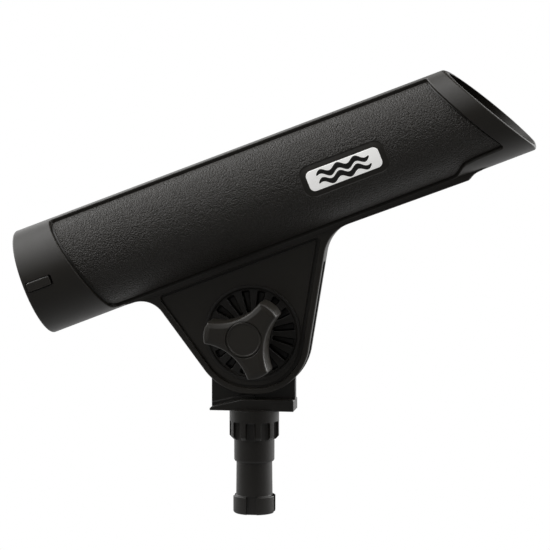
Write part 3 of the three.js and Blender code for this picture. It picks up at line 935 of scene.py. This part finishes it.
# ------------------------------------------------------- side panels and badges
def plain_border(panel):
    """Gives the sunk area round the badge the plain finish of the body."""
    panel.data.materials.append(M_BODY)
    untilt = np.array([[COS_TILT, 0, SIN_TILT], [0, 1, 0], [-SIN_TILT, 0, COS_TILT]])
    for face in panel.data.polygons:
        u, y, h = untilt @ (np.array(face.center) * PER_METRE - np.array([0, 0, PIVOT_Z]))
        if abs(u - BADGE_U) < 23.7 and abs(h - AXIS_H - BADGE_V) < 9.2:
            if math.hypot(y, h - AXIS_H) < float(r_out(u)) - PANEL_D - 0.03:
                face.material_index = 1


def build_panel(side, label):
    panel = prism("side_panel_" + label + "_skin", side_outline(-0.75, 8.7, 79.1, 5.2),
                  round_both(POCKET_D - 0.05, PANEL_D, 0.05, 0.55),
                  on_side(side), spacing=(1.6, 1.3))
    bezel = prism("bezel", rectangle(BADGE_U, BADGE_S, 46.4, 18.0, 5.2),
                  cutter_rings(PANEL_D, PANEL_D + 0.5, flare=0.4, fillet=0.3),
                  on_side(side), spacing=(1.6, 1.0))
    boolean(panel, bezel)
    finish_piece(panel, "holder", ["side_panel_" + label], M_PANEL,
                 set_normals=panel_normals)
    plain_border(panel)


def build_badge(side, label):
    """A pale plate with two dark waves, one above the other."""
    plate = prism("badge_" + label + "_plate", rectangle(BADGE_U, BADGE_S, 40.0, 11.6, 3.0),
                  round_both(PANEL_D + 0.6, PANEL_D - 0.1, 0.05, 0.35),
                  on_side(side), spacing=(1.6, 1.0))
    finish_piece(plate, "holder", ["badge_" + label], M_BADGE)
    length, periods, amplitude, half_width = 29.0, 3, 1.25, 1.6
    x = np.linspace(-14.5, 14.5, 90)
    swing = amplitude * np.sin(x / length * 2 * math.pi * periods)
    half = half_width * np.sqrt(np.clip(1 - (np.abs(x) / 14.7) ** 4, 0.02, 1))
    for i, offset in enumerate((2.25, -2.25)):
        middle = BADGE_S + (offset + swing)
        one_edge = np.stack([BADGE_U + x, middle + half], 1)
        other_edge = np.stack([BADGE_U + x, middle - half], 1)[::-1]
        wave = prism("badge_%s_wave_%d" % (label, i + 1), np.vstack([one_edge, other_edge]),
                     round_both(PANEL_D + 0.05, PANEL_D - 0.17, 0.03, 0.06, count=2),
                     on_side(side), spacing=(1.2, 0.8))
        finish_piece(wave, "holder", [], M_INK)


def build_cross_bar():
    section = rectangle((BAR_U0 + BAR_U1) / 2, BAR_H, BAR_U1 - BAR_U0, BAR_T, 0.5, 0.8)
    bar = prism("gimbal_bar_smooth", section,
                round_both(-R_REAR - 0.5, R_REAR + 0.5, 0.4, 0.4))
    finish_piece(bar, "holder", ["gimbal_bar"], M_BAR)


# ---------------------------------------------------- toothed discs and clamp bolt
# (radius, distance from the middle plane, rounding)
DISC_PROFILE = [
    (BORE_R, 3.6, 0), (23.55, 3.6, 0), (23.55, 6.08, 0), (25.25, 6.08, 0.2),
    (25.25, 7.0, 0.4), (23.9, 7.0, 0.4), (23.2, 5.85, 0.3), (11.0, 5.8, 0),
    (9.9, 6.02, 0.2), (4.8, 6.02, 0.2), (BORE_R, 5.8, 0),
]
# (outline offset, distance from the middle plane)
TOOTH_GAP_RINGS = [(0.0, 3.0), (0.0, 5.45), (0.12, 5.7), (0.35, 5.86), (0.5, 9.0)]


def build_disc(side, label):
    disc = lathe("ratchet_disc_" + label + "_toothed",
                 [(radius, side * y, rounding) for radius, y, rounding in DISC_PROFILE], 144)
    rings = [(offset, side * y) for offset, y in TOOTH_GAP_RINGS]
    for i in range(TOOTH_COUNT):
        corners = turned(wedge(10.8, 22.4, 5.5, 0.6, 0.7), tooth_angle(i))
        boolean(disc, prism("tooth_gap", rounded_poly(corners, 0.7), rings))
    finish_piece(disc, "holder", ["ratchet_disc_" + label], M_DISC_SHADED, sharp=30.0)


def build_bolt():
    """Hexagonal head with a chamfered crown, on a plain shank."""
    corner_r = 7.505
    corners = []
    for i in range(6):
        a = math.radians(60 * i + 30)
        corners.append((corner_r * math.cos(a), corner_r * math.sin(a), 0.35))
    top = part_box("clamp_bolt")[1].y * PER_METRE
    bolt = prism("clamp_bolt_hex", rounded_poly(corners, 0.8), [
        (-0.25, 7.9), (0.0, 8.1), (0.0, top - 0.5), (-0.25, top - 0.2), (-0.8, top)])
    dome = lathe("dome", [(0, 7.0, 0), (8.6, 7.0, 0), (8.6, top - 1.3, 0),
                          (6.3, top + 0.01, 0), (0, top + 0.01, 0)])
    boolean(bolt, dome, "INTERSECT")
    shank = lathe("shank", [(0, -27.0, 0), (4.0, -27.0, 0.7), (4.0, 8.5, 0), (0, 8.5, 0)], 64)
    boolean(bolt, shank, "UNION")
    finish_piece(bolt, "holder", ["clamp_bolt"], M_STEEL, sharp=28.0)


def build_washer(node, body):
    low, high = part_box(node)
    y0, y1 = low.y * PER_METRE, high.y * PER_METRE
    washer = lathe(node + "_turned",
                   [(BORE_R, y0, 0), (9.0, y0, 0.3), (9.0, y1, 0.3), (BORE_R, y1, 0)],
                   centre_z=PIVOT_Z)
    finish_piece(washer, body, [node], M_STEEL, post_frame, sharp=28.0)


# ------------------------------------------------------------------------ knob
def knob_outline():
    """Three lobes with hollow arcs between them, seen along y."""
    tip, waist, half_lobe = 21.2, 11.0, 16.0
    lobe_points, hollow_steps = 9, 30
    # the hollow's circle passes through the lobe corners and the waist
    a = math.radians(60 - half_lobe)
    corner_x, corner_z = tip * math.cos(a), tip * math.sin(a)
    centre = (corner_x**2 + corner_z**2 - waist**2) / (2 * (corner_x - waist))
    reach = math.degrees(math.atan2(corner_z, centre - corner_x))
    points = []
    for k in range(3):
        middle = 90 - 39 - 120 * k
        for i in range(lobe_points):
            t = -1 + i / 4
            a = math.radians(middle - t * half_lobe)
            radius = tip + (1 - t * t) * 0.3
            rounding = 1.5 if i in (0, lobe_points - 1) else 0.0
            points.append((radius * math.cos(a), radius * math.sin(a), rounding))
        hollow = middle - 60
        x, z = math.cos(math.radians(hollow)), math.sin(math.radians(hollow))
        for i in range(1, hollow_steps):
            a = math.radians(hollow + 180 - reach + 2 * reach * i / hollow_steps)
            points.append((centre * x + (centre - waist) * math.cos(a),
                           centre * z + (centre - waist) * math.sin(a), 0.0))
    # keep clear of each lobe corner so that the corner can be rounded
    corners = [p for p in points if p[2] > 0]
    kept = [p for p in points
            if p[2] > 0 or all(math.dist(p[:2], c[:2]) >= 2.0 for c in corners)]
    return rounded_poly([(x, z + PIVOT_Z, rounding) for x, z, rounding in kept], 0.8)


# (outline offset, y), from the inner side to the outer face
KNOB_INNER_RINGS = [(-1.4, -17.5), (-0.95, -17.55), (-0.45, -17.75), (-0.13, -18.1),
                    (0.0, -18.6), (0.0, -26.0)]
# (outline offset, y from the outer face)
KNOB_OUTER_RINGS = [(-0.10, 2.3), (-0.16, 1.65), (-0.38, 1.15), (-0.75, 0.80),
                    (-1.2, 0.60), (-2.45, 0.18), (-2.75, 0.05), (-3.1, 0)]
# (radius, y, rounding)
KNOB_HUB = [(0, -7.8, 0), (9.0, -7.8, 0.5), (9.0, -15.5, 0), (9.6, -18.0, 0.8),
            (9.6, -20.0, 0), (0, -20.0, 0)]
KNOB_BORE = [(0, 0, 0), (6.3, 0, 0), (6.3, -22.6, 0), (4.5, -22.6, 0),
             (4.5, -29.0, 0), (0, -29.0, 0)]
# (radius, y from the outer face, rounding)
CAP_SEAT = [(0, -2, 0), (9.75, -2, 0), (9.75, -0.02, 0), (9.55, 0.22, 0.1),
            (9.5, 3.2, 0), (0, 3.2, 0)]
CAP_PROFILE = [
    (0, 3.0, 0), (9.44, 3.0, 0), (9.44, 0.62, 0.12), (9.05, 0.50, 0.1), (8.95, 0.30, 0.12),
    (8.45, 0.30, 0.12), (8.15, 0.68, 0.12), (7.6, 0.72, 0.1), (0, 0.62, 0)]


def from_knob_face(profile):
    return [(radius, KNOB_FACE_Y + y, rounding) for radius, y, rounding in profile]


def build_knob():
    outer = [(offset, KNOB_FACE_Y + y) for offset, y in KNOB_OUTER_RINGS]
    knob = prism("knob_lobed", knob_outline(), KNOB_INNER_RINGS + outer)
    boolean(knob, lathe("hub", KNOB_HUB, centre_z=PIVOT_Z), "UNION")
    boolean(knob, lathe("b1", KNOB_BORE, 64, centre_z=PIVOT_Z))
    boolean(knob, lathe("b2", from_knob_face(CAP_SEAT), 128, centre_z=PIVOT_Z))
    finish_piece(knob, "knob", ["knob_body"], M_KNOB, post_frame, sharp=26.0)
    knob_cap = lathe("knob_cap_ringed", from_knob_face(CAP_PROFILE), 128, centre_z=PIVOT_Z)
    finish_piece(knob_cap, "knob", ["knob_cap"], M_CAP, post_frame, sharp=26.0)


# --------------------------------------------------------------- post and head
RAMP_SLOPE = math.tan(math.radians(14.2))
RAMP_X = -5.5                             # the plate slopes down from here towards -X
PLATE_X0, PLATE_X1, PLATE_Z0, PLATE_Z1 = -22.9, 21.9, 55.0, 61.2
NECK_X0, NECK_X1 = -22.4, 22.1
LUG_R = 30.0
# (radius, z, rounding)
POST_PROFILE = [
    (0, 0, 0), (11.2, 0, 1.3), (11.2, 9.5, 0.5), (9.65, 9.5, 0.4), (9.45, 27.8, 0.3),
    (10.25, 27.8, 0.3), (10.65, 28.6, 0.4), (10.7, 39.7, 0), (11.6, 39.7, 0.35),
    (13.1, 41.3, 0.5), (13.1, 55.0, 0), (13.1, 55.5, 0), (0, 55.5, 0)]
FLUTE = [(14.8, -3.05, 0), (10.75, -2.35, 1.5), (10.75, 2.35, 1.5), (14.8, 3.05, 0)]
FLUTE_RINGS = [(0.0, 36.0), (0.0, 48.3), (-0.12, 48.8), (-0.45, 49.15), (-0.9, 49.3)]
NOTCH = [(8.9, -2.8, 0.4), (14, -2.8, 0), (14, 2.8, 0), (8.9, 2.8, 0.4)]


def lug_outline():
    """Side view of the round lug between the ears, with its neck."""
    start, end = (math.degrees(math.asin(x / LUG_R)) for x in (NECK_X0, NECK_X1))
    base = [(NECK_X0, PLATE_Z0 + 1.2), (PLATE_X1 - 0.6, PLATE_Z0 + 1.2),
            (PLATE_X1 - 0.6, PLATE_Z1 - 0.6), (NECK_X1, PLATE_Z1 - 0.6)]
    return divide(np.array(base + arc(0, PIVOT_Z, LUG_R, -90 + end, 270 + start, 110)), 1.4)


def build_post_head():
    plate = rounded_poly([
        (PLATE_X1, PLATE_Z0, 0.5), (PLATE_X1, PLATE_Z1, 0.7), (RAMP_X, PLATE_Z1, 2.0),
        (PLATE_X0 + 1.4, PLATE_Z1 - (RAMP_X - PLATE_X0 - 1.4) * RAMP_SLOPE, 0.9),
        (PLATE_X0, PLATE_Z0 + 1.1, 0.8), (PLATE_X0 + 0.2, PLATE_Z0, 0.4)], 1.0)
    head = prism("post_head_moulded", plate, round_both(-7.4, 7.4, 0.6, 0.6))
    boolean(head, prism("lug", lug_outline(), round_both(-2.4, 2.4, 0.5, 0.5)), "UNION")
    ledge_x = NECK_X0 + 0.2
    ledge = rounded_poly([
        (ledge_x, PLATE_Z0 + 1.2, 0), (1.0, PLATE_Z0 + 1.2, 0), (1.0, PLATE_Z1 + 0.2, 0.8),
        (-0.5, PLATE_Z1 + 2.6, 1.5), (-2.2, PLATE_Z1 + 2.8, 1.5),
        (ledge_x, PLATE_Z1 + 2.0 + (ledge_x - RAMP_X) * RAMP_SLOPE, 0.5)], 1.0)
    boolean(head, prism("ledge", ledge, round_both(-3.3, 3.3, 0.4, 0.4)), "UNION")
    for i in range(TOOTH_COUNT):
        corners = turned(wedge(11.3, 21.9, 4.6, 0.4, 0.4), tooth_angle(i) + TILT, PIVOT_Z)
        tooth = prism("tooth", rounded_poly(corners, 1.0),
                      round_both(-3.3, 3.3, 0.5, 0.5, count=3))
        boolean(head, tooth, "UNION")
    bore = [(0, -12, 0), (BORE_R, -12, 0), (BORE_R, 12, 0), (0, 12, 0)]
    boolean(head, lathe("bore", bore, 64, centre_z=PIVOT_Z))

    post = lathe("post", POST_PROFILE, 160, axis="z", corner_steps=5)
    # ten hollow flutes that stop below the top of the collar, then four notches at the foot
    for i in range(10):
        flute = rounded_poly(turned(FLUTE, math.radians(-90 + 36 * i)), 0.6)
        boolean(post, prism("flute", flute, FLUTE_RINGS, sweep_z))
    for i in range(4):
        notch = rounded_poly(turned(NOTCH, math.radians(-90 + 90 * i)), 1.0)
        boolean(post, prism("notch", notch, straight(-2.0, 9.7), sweep_z))
    boolean(head, post, "UNION")
    finish_piece(head, "post", ["post_head"], M_POST_SHADED, post_frame, sharp=30.0)


# ------------------------------------------------------- floor, light and camera
# A white studio: the camera sees plain white, the object sees soft patches of light
# over a pale floor.
# name, azimuth from +X towards +Y, elevation, radius of the patch (degrees), brightness
SKY = [
    ("up_left", 180, 45, 40, 3.2),
    ("up_right", 0, 45, 40, 2.6),
    ("front_left_up", -125, 36, 30, 1.35),
    ("left", 188, 8, 38, 0.3),
    ("right", -8, 8, 38, 0.2),
    ("back_left", 135, 8, 40, 2.6),
    ("back_right", 45, 8, 40, 4.6),
]
FLOOR_FRONT, FLOOR_BACK = 0.19, 0.75      # brightness at -Y and at +Y
FLOOR_BLEND = 0.15                        # the change spans this far either side of y = 0
FLOOR_Z = -0.0005


def build_floor():
    mesh = bpy.data.meshes.new("floor")
    mesh.from_pydata([(-6, -4, FLOOR_Z), (6, -4, FLOOR_Z), (6, 9, FLOOR_Z), (-6, 9, FLOOR_Z)],
                     [], [(0, 1, 2, 3)])
    floor = bpy.data.objects.new("floor", mesh)
    bpy.context.scene.collection.objects.link(floor)
    material = bpy.data.materials.new("pale_floor")
    tree = Nodes(material)
    position = tree.add("NewGeometry").outputs["Position"]
    y = tree.add("SeparateXYZ", {0: position}).outputs[1]
    level = tree.map_range(y, from_min=-FLOOR_BLEND, from_max=FLOOR_BLEND,
                           to_min=FLOOR_FRONT, to_max=FLOOR_BACK, kind="SMOOTHSTEP")
    level.node.name = "floor_level"
    glow = tree.add("Emission", {"Strength": tree.white_to_camera(level)})
    tree.add("OutputMaterial", {0: glow.outputs[0]})
    mesh.materials.append(material)


def build_world():
    world = bpy.data.worlds.new("studio")
    bpy.context.scene.world = world
    tree = Nodes(world)
    ray = tree.add("TexCoord").outputs["Generated"]
    total = None
    for name, azimuth, elevation, radius, brightness in SKY:
        a, b = math.radians(azimuth), math.radians(elevation)
        direction = (math.cos(b) * math.cos(a), math.cos(b) * math.sin(a), math.sin(b))
        closeness = tree.add("VectorMath", {0: ray, 1: direction},
                             operation="DOT_PRODUCT").outputs["Value"]
        patch = tree.map_range(closeness, from_min=math.cos(math.radians(radius)),
                               from_max=1.0, to_min=0.0, to_max=brightness,
                               kind="SMOOTHSTEP")
        patch.node.name = "sky_" + name
        total = tree.math("ADD", total, patch) if total else patch
    background = tree.add("Background", {"Strength": tree.white_to_camera(total),
                                         "Color": (1, 1, 1, 1)})
    tree.add("OutputWorld", {0: background.outputs[0]})


def build_camera():
    target = Vector((0.01103, 0.0, 0.12642))
    azimuth, elevation = math.radians(8.5), math.radians(6.2)   # from -Y towards +X, up
    distance = 1.778
    data = bpy.data.cameras.new("camera")
    data.lens = 221.7
    data.sensor_width = 36.0
    data.clip_start = 0.05
    data.clip_end = 50.0
    camera = bpy.data.objects.new("camera", data)
    direction = Vector((math.sin(azimuth) * math.cos(elevation),
                        -math.cos(azimuth) * math.cos(elevation), math.sin(elevation)))
    camera.location = target + direction * distance
    camera.rotation_euler = (-direction).to_track_quat("-Z", "Y").to_euler()
    bpy.context.scene.collection.objects.link(camera)
    bpy.context.scene.camera = camera
    bpy.context.scene.view_settings.view_transform = "Standard"


# ----------------------------------------------------------------------- build
build_holder_shell()
for side, label in SIDES:
    build_panel(side, label)
    build_badge(side, label)
build_cross_bar()
for side, label in SIDES:
    build_disc(side, label)
build_bolt()
build_washer("bolt_washer", "holder")
build_washer("knob_washer", "washer_carrier")
build_knob()
build_post_head()

# the insert keeps its CAD mesh
insert_materials = frame["nodes"]["knob_insert"].data.materials
insert_materials.clear()
insert_materials.append(M_BRASS)

build_floor()
build_world()
build_camera()
